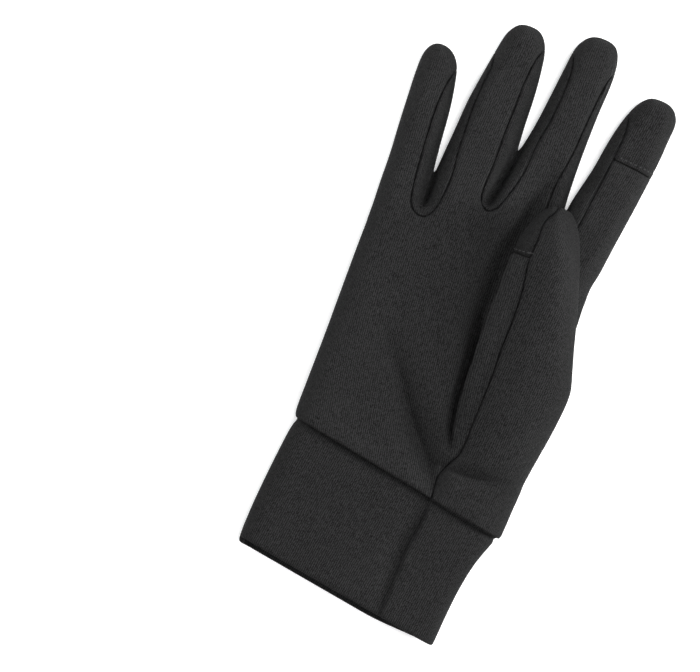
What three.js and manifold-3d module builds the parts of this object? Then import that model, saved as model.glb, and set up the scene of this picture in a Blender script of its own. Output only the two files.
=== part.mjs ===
// A right-hand knitted glove, lying palm up on a flat surface.
// Millimetres, +Z up, +Y towards the fingertips, +X towards the thumb side.
// The glove is a set of flattened tubes (hand, four fingers, thumb, cuff), each lofted through
// a short table of sections, joined, hollowed by the cloth thickness and then cut along the seams.
import * as THREE from 'three';
import { mergeVertices } from 'three/addons/utils/BufferGeometryUtils.js';
import Module from 'manifold-3d';

const wasm = await Module();
wasm.setup();
const { Manifold, Mesh: SolidMesh } = wasm;

// Cloth and seams
const CLOTH = 1.4;
const CUFF_CLOTH = 2.2;
const SEAM_GAP = 0.3;
const SIDE_SEAM_Z = 5;
const SECTION_POWER = 2.5;
const WAIST = 0.45;
const BELLY = 0.55;
const HAND_POINTS = 36;
const CUFF_POINTS = 36;
const FINGER_POINTS = 18;
const THUMB_POINTS = 22;

// Where the cloth's pieces meet, along Y
const INDEX_PATCH_Y = 125.6;
const THUMB_PATCH_Y = 77.4;
const THUMB_FREE_Y = 38;
const CROSS_SEAM_Y = 26;
const WRIST_TILT = -0.16;
const INDEX_PATCH_LEFT = 25;

// Heights and reaches that keep the cuts clear of what they don't cut
const FOURCHETTE_TOP = 11.8;
const BEYOND = 80;
const FAR = 200;
const AROUND = [[-BEYOND, -2 * BEYOND], [BEYOND, -2 * BEYOND], [BEYOND, FAR], [-BEYOND, FAR]];

// How the hollows end: how many rows belong to a closed tip, and how far an open end is overrun
const TIP_ROWS = 3;
const RUN_OUT = 4;
const RUN_IN = 0.4;

// Points nearer than this are one point, and facets flatter than this are one facet
const SAME_POINT = 1e-5;
const SLIM = 0.03;

// Sections across each tube, from the wrist end to the tip.
// y is the section's place at its middle, tilt its slope dy/dx, left and right its two edges,
// bottom and top its heights over the surface.
const HAND = [
  { y: -26.2, tilt: -0.16, left: -49.2, right: 43.4, bottom: 0, top: 11.6 },
  { y: -22.5, tilt: -0.16, left: -49.9, right: 43.8, bottom: 0, top: 12.8 },
  { y: -12, tilt: -0.15, left: -50.2, right: 43.8, bottom: 0, top: 13.0 },
  { y: 2, tilt: -0.12, left: -50.4, right: 44.6, bottom: 0, top: 13.2 },
  { y: 16, tilt: -0.08, left: -50.7, right: 45.8, bottom: 0, top: 13.2 },
  { y: 30, tilt: -0.04, left: -51.1, right: 45.8, bottom: 0, top: 12.8 },
  { y: 44, tilt: 0, left: -51.5, right: 43.0, bottom: 0, top: 12.4 },
  { y: 58, tilt: 0.02, left: -51.9, right: 41.6, bottom: 0, top: 12.0 },
  { y: 70, tilt: 0.06, left: -52.1, right: 41.0, bottom: 0, top: 11.6 },
  { y: 80, tilt: 0.16, left: -49.0, right: 37.0, bottom: 0, top: 8.0 },
];
const LITTLE = [
  { y: 56, left: -48.0, right: -31.0, top: 9.6 },
  { y: 71, left: -52.2, right: -32.6, top: 10.6 },
  { y: 82, left: -52.9, right: -34.0, top: 10.4 },
  { y: 94, left: -53.5, right: -35.0, top: 10.0 },
  { y: 106, left: -54.6, right: -36.2, top: 9.6 },
  { y: 119, left: -55.6, right: -37.7, top: 9.2 },
  { y: 130, left: -56.3, right: -39.8, top: 8.8 },
  { y: 136.5, left: -56.0, right: -41.8, top: 8.2 },
  { y: 140.3, left: -54.2, right: -44.9, top: 6.6 },
  { y: 141.8, left: -51.9, right: -48.0, top: 4.4 },
];
const RING = [
  { y: 58, left: -31.6, right: -10.6, top: 10.4 },
  { y: 78, left: -33.8, right: -9.4, top: 11.4 },
  { y: 90, left: -33.8, right: -9.2, top: 11.2 },
  { y: 102, left: -33.5, right: -8.0, top: 10.8 },
  { y: 113, left: -33.0, right: -6.8, top: 10.4 },
  { y: 125, left: -32.5, right: -7.6, top: 10.0 },
  { y: 137, left: -31.1, right: -8.4, top: 9.6 },
  { y: 148, left: -29.6, right: -9.8, top: 9.2 },
  { y: 155.5, left: -28.2, right: -11.5, top: 8.4 },
  { y: 160.0, left: -25.6, right: -14.4, top: 6.8 },
  { y: 161.6, left: -22.6, right: -17.2, top: 4.6 },
];
const MIDDLE = [
  { y: 58, left: -8.4, right: 18.4, top: 10.4 },
  { y: 80, left: -10.2, right: 20.4, top: 11.6 },
  { y: 92, left: -8.6, right: 20.0, top: 11.4 },
  { y: 104, left: -6.4, right: 19.2, top: 11.0 },
  { y: 114, left: -5.8, right: 18.5, top: 10.6 },
  { y: 126, left: -3.9, right: 18.1, top: 10.2 },
  { y: 140, left: -2.5, right: 18.0, top: 9.8 },
  { y: 153, left: -1.4, right: 18.3, top: 9.4 },
  { y: 161, left: -0.4, right: 17.4, top: 8.6 },
  { y: 166, left: 2.6, right: 15.2, top: 6.8 },
  { y: 167.8, left: 6.0, right: 12.0, top: 4.6 },
];
const INDEX = [
  { y: 58, left: 19.4, right: 37.6, top: 10.2 },
  { y: 80, left: 19.8, right: 42.2, top: 11.2 },
  { y: 93, left: 20.4, right: 43.6, top: 11.0 },
  { y: 106, left: 22.2, right: 45.1, top: 10.6 },
  { y: 118, left: 24.0, right: 46.4, top: 10.2 },
  { y: 130, left: 25.6, right: 47.5, top: 9.8 },
  { y: 140, left: 27.6, right: 47.9, top: 9.4 },
  { y: 147.5, left: 30.2, right: 48.0, top: 8.6 },
  { y: 151.8, left: 33.2, right: 45.6, top: 6.8 },
  { y: 153.5, left: 36.0, right: 42.4, top: 4.6 },
];
const THUMB = [
  { y: -30.7, tilt: -0.16, left: 9.0, right: 44.0, bottom: 0, top: 11.8 },
  { y: -14, tilt: -0.15, left: 8.0, right: 44.7, bottom: 0, top: 15.4 },
  { y: 0, tilt: -0.1, left: 8.0, right: 46.1, bottom: 0, top: 18.6 },
  { y: 12, tilt: -0.06, left: 7.8, right: 47.7, bottom: 0.8, top: 20.6 },
  { y: 24, tilt: 0, left: 7.4, right: 48.8, bottom: 4.6, top: 21.8 },
  { y: 32, tilt: 0, left: 7.0, right: 48.6, bottom: 9.4, top: 22.4 },
  { y: 38, tilt: 0, left: 6.8, right: 46.8, bottom: 13.2, top: 22.8 },
  { y: 48, tilt: 0, left: 6.6, right: 43.6, bottom: 13.0, top: 23.0 },
  { y: 60, tilt: 0, left: 6.4, right: 40.1, bottom: 12.6, top: 23.0 },
  { y: 71, tilt: 0, left: 5.8, right: 36.4, bottom: 12.2, top: 22.6 },
  { y: 82, tilt: 0, left: 6.6, right: 32.4, bottom: 12.0, top: 21.8 },
  { y: 90, tilt: 0, left: 9.0, right: 29.0, bottom: 12.0, top: 20.8 },
  { y: 95.6, tilt: 0, left: 12.0, right: 25.2, bottom: 12.4, top: 19.2 },
  { y: 98.4, tilt: 0, left: 15.2, right: 21.6, bottom: 13.6, top: 17.4 },
];
const CUFF = [
  { y: -26.6, tilt: -0.16, left: -48.6, right: 42.6, bottom: 0, top: 10.2 },
  { y: -31.0, tilt: -0.16, left: -49.4, right: 41.6, bottom: 0, top: 11.2 },
  { y: -39.0, tilt: -0.16, left: -50.2, right: 39.2, bottom: 0, top: 10.8 },
  { y: -50.0, tilt: -0.15, left: -51.1, right: 37.4, bottom: 0, top: 10.6 },
  { y: -62.0, tilt: -0.145, left: -51.8, right: 36.4, bottom: 0, top: 10.8 },
  { y: -73.0, tilt: -0.14, left: -52.0, right: 35.9, bottom: 0, top: 11.4, lip: 1.6 },
  { y: -76.3, tilt: -0.14, left: -51.8, right: 35.7, bottom: 0, top: 11.4, lip: 2.4 },
];

// Soft folds pressed into the upper cloth of the hand: a line from x0,y0 to x1,y1
const FOLD_FALL_OFF = 2.7;
const FOLDS = [
  { x0: -1.5, y0: 66, x1: 11.5, y1: -4, width: 7, depth: 1.3 },
  { x0: -16, y0: 18, x1: 0, y1: -4, width: 9, depth: 0.9 },
  { x0: -36, y0: 62, x1: -24, y1: 28, width: 9, depth: 0.7 },
  { x0: -34, y0: -8, x1: -12, y1: -16, width: 8, depth: 0.7 },
];

// Seam lines seen from above: the U round each finger gap, and the thumb's long seam
const GAP_LITTLE_RING = [
  [-40.4, 141.0], [-42.4, 134.0], [-43.2, 126.8], [-44.5, 115.4], [-43.6, 102.9], [-41.6, 91.8],
  [-40.0, 82.4],
  [-38.1, 77.3], [-34.3, 74.9], [-31.2, 75.1], [-28.7, 78.6], [-27.4, 85.6], [-27.2, 94.6],
  [-28.4, 104.0], [-29.0, 113.7], [-29.5, 122.4], [-29.5, 132.3], [-29.4, 141.3], [-30.4, 152.5],
];
const GAP_RING_MIDDLE = [
  [-11.4, 162.4], [-13.4, 152.6], [-14.4, 141.3], [-14.2, 128.6], [-14.2, 118.7], [-13.6, 105.1],
  [-13.7, 93.3], [-12.7, 89.5], [-9.1, 86.5], [-6.0, 88.8], [-3.6, 95.2], [-1.1, 106.1],
  [-0.4, 119.2], [1.2, 129.8], [1.5, 143.8], [1.4, 153.7], [-0.6, 165.0],
];
const GAP_MIDDLE_INDEX = [
  [18.8, 163.6], [16.8, 158.0], [15.2, 144.3], [14.6, 133.3], [14.0, 120.1], [12.6, 107.5],
  [12.8, 97.0], [14.4, 86.6], [17.4, 82.4], [21.2, 81.4], [24.8, 84.0], [27.4, 92.4],
  [29.6, 103.0], [31.0, 114.3], [30.7, 124.9], [31.3, 131.7], [31.0, 143.2], [31.8, 153.4],
];
const THUMB_SEAM = [
  [13.2, -44.0], [13.2, -27.2], [12.4, -19.0], [14.4, -12.7], [17.2, -6.2], [17.2, 7.6],
  [17.3, 16.8], [17.1, 26.8], [16.4, 38.0], [16.3, 49.5], [15.5, 61.5], [14.2, 74.1],
  [14.8, 82.9], [14.2, 90.6], [16.6, 97.5], [17.2, 112.0],
];

const GAP_OUTLINES = {
  fourchette_little_ring: GAP_LITTLE_RING,
  fourchette_ring_middle: GAP_RING_MIDDLE,
  fourchette_middle_index: GAP_MIDDLE_INDEX,
};

// Seen from the side, the narrow space between the hand and the thumb that lies on it: y, z
const UNDER_THUMB_START_Z = 12.9;
const UNDER_THUMB = [
  [48, 12.65], [60, 12.3], [71, 11.9], [82, 11.8],
];

const cloth = (name, colour, roughness) => {
  const material = new THREE.MeshStandardMaterial({ color: colour, roughness, metalness: 0 });
  material.name = name;
  return material;
};
const JERSEY = cloth('jersey', 0x2f2e30, 0.95);
const PATCH = cloth('touch_jersey', 0x2b2a2c, 0.9);
const CUFF_JERSEY = cloth('cuff_jersey', 0x313032, 0.95);

const foldDepth = (x, y) => {
  let depth = 0;
  for (const fold of FOLDS) {
    const along = new THREE.Vector2(fold.x1 - fold.x0, fold.y1 - fold.y0);
    const from = new THREE.Vector2(x - fold.x0, y - fold.y0);
    const t = THREE.MathUtils.clamp(from.dot(along) / along.lengthSq(), 0, 1);
    const away = from.addScaledVector(along, -t).length() / fold.width;
    depth += fold.depth * Math.exp(-FOLD_FALL_OFF * away * away);
  }
  return depth;
};

// One section as a closed ring of points: a superellipse with its underside pressed flat
const sectionRing = (row, count, inset, folded) => {
  const middle = (row.left + row.right) / 2;
  const half = (row.right - row.left) / 2 - inset;
  const low = row.bottom ?? 0;
  const height = row.top - low;
  const waist = low + WAIST * height;
  const power = 2 / SECTION_POWER;
  const ring = [];
  for (let i = 0; i < count; i += 1) {
    const angle = (2 * Math.PI * i) / count;
    const c = Math.cos(angle);
    const s = Math.sin(angle);
    const x = middle + half * Math.sign(c) * Math.abs(c) ** power;
    const reach = s > 0 ? height * (1 - WAIST) - inset : height * BELLY - inset;
    let y = row.y + (row.tilt ?? 0) * (x - middle);
    let z = Math.max(low + inset, waist + reach * Math.sign(s) * Math.abs(s) ** power);
    if (folded && s > 0) z -= foldDepth(x, y) * s;
    if (s < 0) y += (row.lip ?? 0) * s;
    ring.push(new THREE.Vector3(x, y, z));
  }
  return ring;
};

const solidFrom = (geometry) => {
  const bare = geometry.index ? geometry.clone() : geometry;
  bare.deleteAttribute('normal');
  bare.deleteAttribute('uv');
  const merged = mergeVertices(bare, SAME_POINT);
  return new Manifold(new SolidMesh({
    numProp: 3,
    vertProperties: new Float32Array(merged.attributes.position.array),
    triVerts: new Uint32Array(merged.index.array),
  }));
};

// Rings of the same length become one closed tube with a fan at each end
const loft = (sections) => {
  const upwards = sections[0][0].y < sections[sections.length - 1][0].y;
  const rings = upwards ? sections : sections.reverse();
  const count = rings[0].length;
  const points = rings.flat();
  const index = [];
  for (let r = 0; r + 1 < rings.length; r += 1) {
    for (let i = 0; i < count; i += 1) {
      const a = r * count + i;
      const b = r * count + ((i + 1) % count);
      index.push(a, a + count, b, b, a + count, b + count);
    }
  }
  const capCentre = (ring) => ring.reduce((sum, p) => sum.add(p), new THREE.Vector3())
    .divideScalar(ring.length);
  const first = points.length;
  points.push(capCentre(rings[0]), capCentre(rings[rings.length - 1]));
  const last = (rings.length - 1) * count;
  for (let i = 0; i < count; i += 1) {
    const next = (i + 1) % count;
    index.push(first, i, next);
    index.push(first + 1, last + next, last + i);
  }
  const geometry = new THREE.BufferGeometry().setFromPoints(points);
  geometry.setIndex(index);
  return solidFrom(geometry);
};

// The outer skin of a tube
const skin = (rows, count, { folded = false } = {}) => (
  loft(rows.map((row) => sectionRing(row, count, 0, folded)))
);

// The hollow of a tube: it stops short of a closed end, and runs out of an open one
const hollow = (rows, count, wall, { folded = false, openStart = false, openTip = false } = {}) => {
  const last = rows.length - 1;
  const way = Math.sign(rows[last].y - rows[0].y);
  const ring = (row, shift) => sectionRing({ ...row, y: row.y + way * shift }, count, wall, folded);
  const rings = rows.slice(1, last).map((row, i) => (
    ring(row, !openTip && i + 1 > last - TIP_ROWS ? -wall : 0)
  ));
  rings.unshift(ring(rows[0], openStart ? RUN_IN : wall));
  if (openStart) rings.unshift(ring(rows[0], -RUN_OUT));
  rings.push(ring(rows[last], openTip ? -RUN_IN : -wall));
  if (openTip) rings.push(ring(rows[last], RUN_OUT));
  return loft(rings);
};

const prism = (outline, bottom, top) => {
  const shape = new THREE.Shape(outline.map(([x, y]) => new THREE.Vector2(x, y)));
  const geometry = new THREE.ExtrudeGeometry(shape, { depth: top - bottom, bevelEnabled: false });
  return solidFrom(geometry.translate(0, 0, bottom));
};

// An outline moved outwards, each side by the same amount
const grown = (outline, by) => {
  const points = outline.map(([x, y]) => new THREE.Vector2(x, y));
  const turn = Math.sign(THREE.ShapeUtils.area(points));
  const outward = (from, to) => {
    const side = to.clone().sub(from).normalize();
    return new THREE.Vector2(side.y, -side.x).multiplyScalar(turn);
  };
  return points.map((point, i) => {
    const before = outward(points[(i + points.length - 1) % points.length], point);
    const after = outward(point, points[(i + 1) % points.length]);
    const corner = before.clone().add(after).multiplyScalar(by / (1 + before.dot(after)));
    return corner.add(point).toArray();
  });
};

const everythingAbove = (z) => prism(AROUND, z, BEYOND);
const everythingBelow = (z) => prism(AROUND, -BEYOND, z);
const across = (outline) => prism(outline, -BEYOND, BEYOND);
// An outline in Y and Z, carried through along X
const lengthwise = (outline) => {
  const shape = new THREE.Shape(outline.map(([y, z]) => new THREE.Vector2(y, z)));
  const geometry = new THREE.ExtrudeGeometry(shape, { depth: 2 * BEYOND, bevelEnabled: false });
  geometry.translate(0, 0, -BEYOND).rotateX(Math.PI / 2).rotateZ(Math.PI / 2);
  return solidFrom(geometry);
};
const beyondLine = (y, tilt) => across([
  [-BEYOND, y - tilt * BEYOND], [BEYOND, y + tilt * BEYOND],
  [BEYOND, FAR], [-BEYOND, FAR],
]);

// The tubes
const FINGERS = [LITTLE, RING, MIDDLE, INDEX];
const join = (solids) => solids.reduce((sum, solid) => sum.add(solid));
const handSkin = join([
  skin(HAND, HAND_POINTS, { folded: true }),
  ...FINGERS.map((rows) => skin(rows, FINGER_POINTS)),
]);
const handHollow = join([
  hollow(HAND, HAND_POINTS, CLOTH, { folded: true, openStart: true }),
  ...FINGERS.map((rows) => hollow(rows, FINGER_POINTS, CLOTH)),
]);
const thumbSkin = skin(THUMB, THUMB_POINTS);
const thumbHollow = hollow(THUMB, THUMB_POINTS, CLOTH, { openStart: true });
const glove = handSkin.add(thumbSkin).subtract(handHollow).subtract(thumbHollow);

// The free part of the thumb lies over the hand, so its cuts stay above a ceiling between the two
const thumbSideCut = (gap) => across(grown([...THUMB_SEAM, [BEYOND, FAR], [BEYOND, -BEYOND]], gap))
  .intersect(lengthwise([
    [-BEYOND, SIDE_SEAM_Z], [THUMB_FREE_Y + gap, SIDE_SEAM_Z],
    [THUMB_FREE_Y + gap, UNDER_THUMB_START_Z], ...UNDER_THUMB, [FAR, FOURCHETTE_TOP],
    [FAR, BEYOND], [-BEYOND, BEYOND],
  ]));

const pieces = {};
let rest = glove;
for (const [name, outline] of Object.entries(GAP_OUTLINES)) {
  pieces[name] = glove.intersect(prism(outline, -BEYOND, FOURCHETTE_TOP));
  rest = rest.subtract(prism(grown(outline, SEAM_GAP), -BEYOND, FOURCHETTE_TOP));
}

const upper = rest.intersect(everythingAbove(SIDE_SEAM_Z + SEAM_GAP / 2));
const lower = rest.intersect(everythingBelow(SIDE_SEAM_Z - SEAM_GAP / 2));
pieces.thumb_panel = upper.intersect(thumbSideCut(0));
const palmCloth = upper.subtract(thumbSideCut(SEAM_GAP));

const indexTip = (gap) => across([
  [INDEX_PATCH_LEFT, INDEX_PATCH_Y - gap], [BEYOND, INDEX_PATCH_Y - gap],
  [BEYOND, FAR], [INDEX_PATCH_LEFT, FAR],
]);
const thumbTip = (gap) => lengthwise([
  [THUMB_PATCH_Y - gap, FOURCHETTE_TOP], [FAR, FOURCHETTE_TOP],
  [FAR, BEYOND], [THUMB_PATCH_Y - gap, BEYOND],
]);
pieces.index_touch_patch = palmCloth.intersect(indexTip(0));
pieces.thumb_touch_patch = palmCloth.intersect(thumbTip(0));
pieces.palm_panel = palmCloth.subtract(indexTip(SEAM_GAP)).subtract(thumbTip(SEAM_GAP));

pieces.hand_back_panel = lower.intersect(beyondLine(CROSS_SEAM_Y + SEAM_GAP / 2, WRIST_TILT));
pieces.wrist_back_panel = lower.subtract(beyondLine(CROSS_SEAM_Y - SEAM_GAP / 2, WRIST_TILT));

pieces.cuff = skin(CUFF, CUFF_POINTS).subtract(
  hollow(CUFF, CUFF_POINTS, CUFF_CLOTH, { openStart: true, openTip: true }),
);

const MATERIALS = {
  thumb_touch_patch: PATCH,
  index_touch_patch: PATCH,
  cuff: CUFF_JERSEY,
};

// The cuts leave crumbs of no volume: only the piece itself is kept
const mainBody = (solid) => solid.simplify(SLIM).decompose()
  .reduce((best, body) => (body.volume() > best.volume() ? body : best));

const meshFrom = (name, solid) => {
  const { vertProperties, triVerts } = mainBody(solid).getMesh();
  const geometry = new THREE.BufferGeometry();
  geometry.setAttribute('position', new THREE.BufferAttribute(vertProperties, 3));
  geometry.setIndex(new THREE.BufferAttribute(triVerts, 1));
  const faceted = geometry.toNonIndexed();
  faceted.computeVertexNormals();
  const mesh = new THREE.Mesh(faceted, MATERIALS[name] ?? JERSEY);
  mesh.name = name;
  return mesh;
};

const group = new THREE.Group();
for (const [name, solid] of Object.entries(pieces)) group.add(meshFrom(name, solid));

export default group;
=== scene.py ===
# %% [markdown]
# # A knitted wool glove, lying palm up
#
# The real glove is cut from fine charcoal wool jersey. Its palm and thumb face up, its back lies on the
# table, narrow strips run between the fingers, and a doubled cuff closes the wrist. This lesson builds
# every piece of cloth at its real size, gives it the knit, and lights it softly on a white surface.
#
# The measured model of the glove is loaded first. It fixes where every piece lies; the pieces made here
# stand for its plain solids one by one. Lengths are in millimetres below, and each mesh is in metres.

# %% Load the measured glove
import math

import bpy
import numpy as np
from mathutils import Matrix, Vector


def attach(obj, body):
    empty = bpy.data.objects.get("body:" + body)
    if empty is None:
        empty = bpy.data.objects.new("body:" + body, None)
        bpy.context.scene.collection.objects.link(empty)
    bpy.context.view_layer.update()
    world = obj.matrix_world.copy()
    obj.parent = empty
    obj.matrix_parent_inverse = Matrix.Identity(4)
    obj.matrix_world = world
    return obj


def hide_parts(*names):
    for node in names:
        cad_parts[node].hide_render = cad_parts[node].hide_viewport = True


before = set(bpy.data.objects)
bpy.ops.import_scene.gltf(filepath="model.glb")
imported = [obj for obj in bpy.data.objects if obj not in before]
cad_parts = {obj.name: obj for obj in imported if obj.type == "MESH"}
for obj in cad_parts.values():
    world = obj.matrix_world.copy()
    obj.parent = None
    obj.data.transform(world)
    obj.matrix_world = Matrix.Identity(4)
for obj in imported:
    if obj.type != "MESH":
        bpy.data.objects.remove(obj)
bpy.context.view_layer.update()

MM = 0.001
print("pieces in the measured glove:", ", ".join(sorted(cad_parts)))

# %% [markdown]
# ## The sizes of the glove
#
# A glove lying flat is known well by its outline and by how thick it lies. These tables hold its cross
# sections, in millimetres. The first number of each list belongs to one section, and the next number to
# the next: where it is along the glove, how much it leans, its left and right edges, and how high its
# top lies above the table. The palm, the thumb and the cuff lean a little, because the glove was laid
# down by hand. The measured model has nearly the same sections.

# %% Sections of the hand, the fingers, the thumb and the cuff
HAND = dict(
    y=[-26.2, -22.5, -12, 2, 16, 30, 44, 58, 70],
    lean=[-0.16, -0.16, -0.15, -0.12, -0.08, -0.04, 0, 0.02, 0.06],
    left=[-49.2, -49.9, -50.2, -50.4, -50.7, -51.1, -51.5, -51.9, -52.1],
    right=[43.4, 43.8, 43.8, 44.6, 45.8, 45.8, 43.0, 41.6, 41.0],
)
HAND_TOP = dict(
    y=[-30, -22, -12, 2, 16, 30, 44, 58, 70, 84, 100, 118, 136, 150, 168],
    top=[12.0, 12.9, 13.0, 13.2, 13.2, 12.8, 12.4, 12.0, 11.6, 11.3, 10.9, 10.5, 9.8, 9.3, 8.6],
)
LITTLE = dict(
    y=[71, 82, 94, 106, 119, 130, 136.5, 140.3, 141.8],
    left=[-52.2, -52.9, -53.5, -54.6, -55.6, -56.3, -56.0, -54.2, -51.9],
    right=[None, -33.8, -34.8, -36.2, -37.7, -39.8, -41.8, -44.9, -48.0],
)
RING = dict(
    y=[84, 94, 103, 113, 125, 137, 148, 155.5, 160, 161.6],
    left=[-33.5, -33.7, -33.5, -33.0, -32.5, -31.1, -29.6, -28.2, -25.6, -22.6],
    right=[None, -9.1, -7.8, -6.8, -7.6, -8.4, -9.8, -11.5, -14.4, -17.2],
)
MIDDLE = dict(
    y=[94, 103, 114, 126, 140, 153, 161, 166, 167.8],
    left=[-8.8, -7.5, -5.8, -3.9, -2.5, -1.4, -0.4, 2.6, 6.0],
    right=[None, 19.2, 18.5, 18.1, 18.0, 18.3, 17.4, 15.2, 12.0],
)
INDEX = dict(
    y=[80, 93, 103, 118, 130, 140, 147.5, 151.8, 153.5],
    left=[None, None, 21.0, 24.0, 25.6, 27.6, 30.2, 33.2, 36.0],
    right=[42.2, 43.6, 44.8, 46.4, 47.5, 47.9, 48.0, 45.6, 42.4],
)
CROTCHES = [(-33.5, 80.5), (-10.2, 90.0), (20.1, 92.0)]
FINGERS_FROM_Y = 66
THUMB = dict(
    y=[-30.7, -14, 0, 12, 24, 32, 38, 48, 60, 71, 82, 90, 95.6, 98.4],
    lean=[-0.16, -0.15, -0.1, -0.06, 0, 0, 0, 0, 0, 0, 0, 0, 0, 0],
    left=[13.6, 13.6, 11.4, 9.0, 8.0, 7.4, 7.0, 6.6, 6.4, 6.2, 6.8, 9, 12, 15.2],
    right=[44, 44.7, 46.1, 47.7, 48.8, 48.6, 46.8, 43.6, 40.1, 36.4, 32.4, 29, 25.2, 21.6],
    bottom=[0, 0, 0, 0.8, 4.6, 9.4, 13.2, 13.0, 12.6, 12.2, 12, 12, 12.4, 13.6],
    top=[11.8, 15.4, 18.6, 20.6, 21.8, 22.6, 23.2, 23.8, 24.4, 24.6, 24.2, 23.2, 21.4, 19.4],
)
CUFF = dict(
    y=[-26.6, -31, -39, -50, -62, -73, -76.3],
    lean=[-0.16, -0.16, -0.16, -0.15, -0.145, -0.14, -0.14],
    left=[-48.6, -49.4, -50.2, -51.1, -51.8, -52.0, -51.8],
    right=[43.0, 41.6, 39.2, 37.4, 36.4, 35.9, 35.7],
    top=[10.2, 11.2, 10.8, 10.6, 10.8, 11.4, 11.4],
)
print("from the cuff's last section to the middle fingertip, mm:", round(MIDDLE["y"][-1] - CUFF["y"][-1]))

# %% [markdown]
# ## Where the seams run
#
# The strips between the fingers show as long narrow tongues, wider at the root of each finger. The
# seam of the thumb runs up its face from the cuff to its tip. The lines are drawn as seen from above.

# %% Lines of the seams
BETWEEN_LITTLE_AND_RING = [
    (-37.0, 139.5), (-40.4, 136.0), (-42.2, 131.5), (-43.2, 125.0), (-43.3, 115.4), (-42.2, 102.9),
    (-41.0, 91.8), (-39.6, 82.4), (-37.9, 77.3), (-34.3, 74.9), (-31.2, 75.1), (-28.7, 78.6),
    (-27.4, 85.6), (-27.2, 94.6), (-28.4, 104), (-29, 113.7), (-29.5, 122.4), (-29.3, 132.3),
    (-28.6, 140.5), (-29.6, 146.0), (-32.4, 151.0),
]
BETWEEN_RING_AND_MIDDLE = [
    (-7.0, 159.0), (-10.6, 156.0), (-13.2, 151.0), (-14.4, 141.3), (-14.2, 128.6), (-14.2, 118.7),
    (-13.6, 105.1), (-13.7, 93.3), (-12.7, 89.5), (-9.1, 86.5), (-6, 88.8), (-3.6, 95.2),
    (-1.1, 106.1), (-0.4, 119.2), (1.2, 129.8), (1.8, 143.8), (1.4, 152.0), (-0.4, 157.5),
    (-3.6, 161.0),
]
BETWEEN_MIDDLE_AND_INDEX = [
    (20.6, 160.0), (17.6, 156.5), (16.0, 151.0), (15.2, 143.0), (14.6, 133.3), (14, 120.1),
    (12.6, 107.5), (12.8, 97), (14.4, 86.6), (17.4, 82.4), (21.2, 81.4), (24.6, 84), (26.7, 92.4),
    (27.8, 103), (29.0, 114.3), (29.9, 124.3), (30.4, 131.5), (30.4, 138.0), (29.2, 143.5),
    (26.4, 147.5),
]
THUMB_SEAM = [
    (13.2, -44), (13.2, -27.2), (12.4, -19), (14.4, -12.7), (17.2, -6.2), (17.2, 7.6),
    (17.3, 16.8), (17.1, 26.8), (16.4, 38), (16.3, 49.5), (15.5, 61.5), (13.4, 74.1),
    (13.7, 82.9), (13.7, 90.6), (16.6, 97.5), (17.2, 112),
]
CUFF_SEAM = [(13.3, -20), (13.3, -30), (13.1, -40), (11.7, -48.3), (11.6, -56), (11.4, -90)]
INDEX_PATCH_X, INDEX_PATCH_Y, INDEX_PATCH_SLOPE = 38, 123.8, -0.08
THUMB_PATCH_Y = 75.2
THUMB_FREE_Y = 38.0
WRIST_SLOPE, WRIST_Y = -0.16, -25.8
MOUTH_SLOPE, MOUTH_Y, MOUTH_LIP = -0.14, -77.4, 2.4
BACK_SEAM_Y = 26.0
SIDE_SEAM_Z = 5.0
print("seam points:", sum(map(len, (BETWEEN_LITTLE_AND_RING, BETWEEN_RING_AND_MIDDLE,
                                    BETWEEN_MIDDLE_AND_INDEX, THUMB_SEAM, CUFF_SEAM))))

# %% [markdown]
# ## A lattice to measure on
#
# Each piece of cloth is a thin curved shell with soft edges, and two of them never cross. Shells like
# these are easy to describe by distance: how far a point is from the glove's skin, and how far it is
# from the nearest seam. So the space around the glove is filled with a regular lattice of points, and
# both distances are worked out there. A mesh is then drawn where the cloth begins. Moulding vertices
# by hand, or joining tubes with boolean cuts, would leave pinched edges where the fingers meet.

# %% The lattice
STEP = 0.65
LOW = np.array([-61.0, -85.0, -2.6])
HIGH = np.array([55.0, 173.0, 26.0])
AXES = [np.arange(LOW[k], HIGH[k] + STEP, STEP).astype(np.float32) for k in range(3)]
PLAN_X, PLAN_Y = np.meshgrid(AXES[0], AXES[1], indexing="ij")
print("lattice points:", [len(a) for a in AXES])


# %% Smooth lines through a few points
def smooth_line(points, closed, spacing=1.5):
    """A line through the points, with a gentle bend at each."""
    p = np.array(points, float)
    n = len(p)
    pick = (lambda i: p[i % n]) if closed else (lambda i: p[min(max(i, 0), n - 1)])
    out = []
    for i in range(n if closed else n - 1):
        before, start, end, after = (pick(i + k) for k in (-1, 0, 1, 2))
        chord = np.linalg.norm(end - start)
        lead = (end - before) / (chord + np.linalg.norm(start - before) + 1e-6) * chord
        trail = (after - start) / (chord + np.linalg.norm(after - end) + 1e-6) * chord
        t = np.linspace(0, 1, max(2, round(chord / spacing) + 1))[:-1, None]
        out.append((2 * t**3 - 3 * t**2 + 1) * start + (t**3 - 2 * t**2 + t) * lead
                   + (3 * t**2 - 2 * t**3) * end + (t**3 - t**2) * trail)
    return np.concatenate(out + ([] if closed else [p[-1:]]))


def inward(outline):
    """At each lattice point in plan, the distance to the outline: above zero inside it."""
    nearest = np.full(PLAN_X.shape, 1e9, np.float32)
    inside = np.zeros(PLAN_X.shape, bool)
    for (x0, y0), (x1, y1) in zip(outline, np.roll(outline, -1, 0)):
        dx, dy = x1 - x0, y1 - y0
        wx, wy = PLAN_X - x0, PLAN_Y - y0
        t = np.clip((wx * dx + wy * dy) / max(dx * dx + dy * dy, 1e-9), 0, 1)
        nearest = np.minimum(nearest, (wx - t * dx) ** 2 + (wy - t * dy) ** 2)
        if dy:
            inside ^= ((y0 <= PLAN_Y) != (y1 <= PLAN_Y)) & (wx < wy * dx / dy)
    return np.where(inside, 1, -1) * np.sqrt(nearest)


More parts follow.
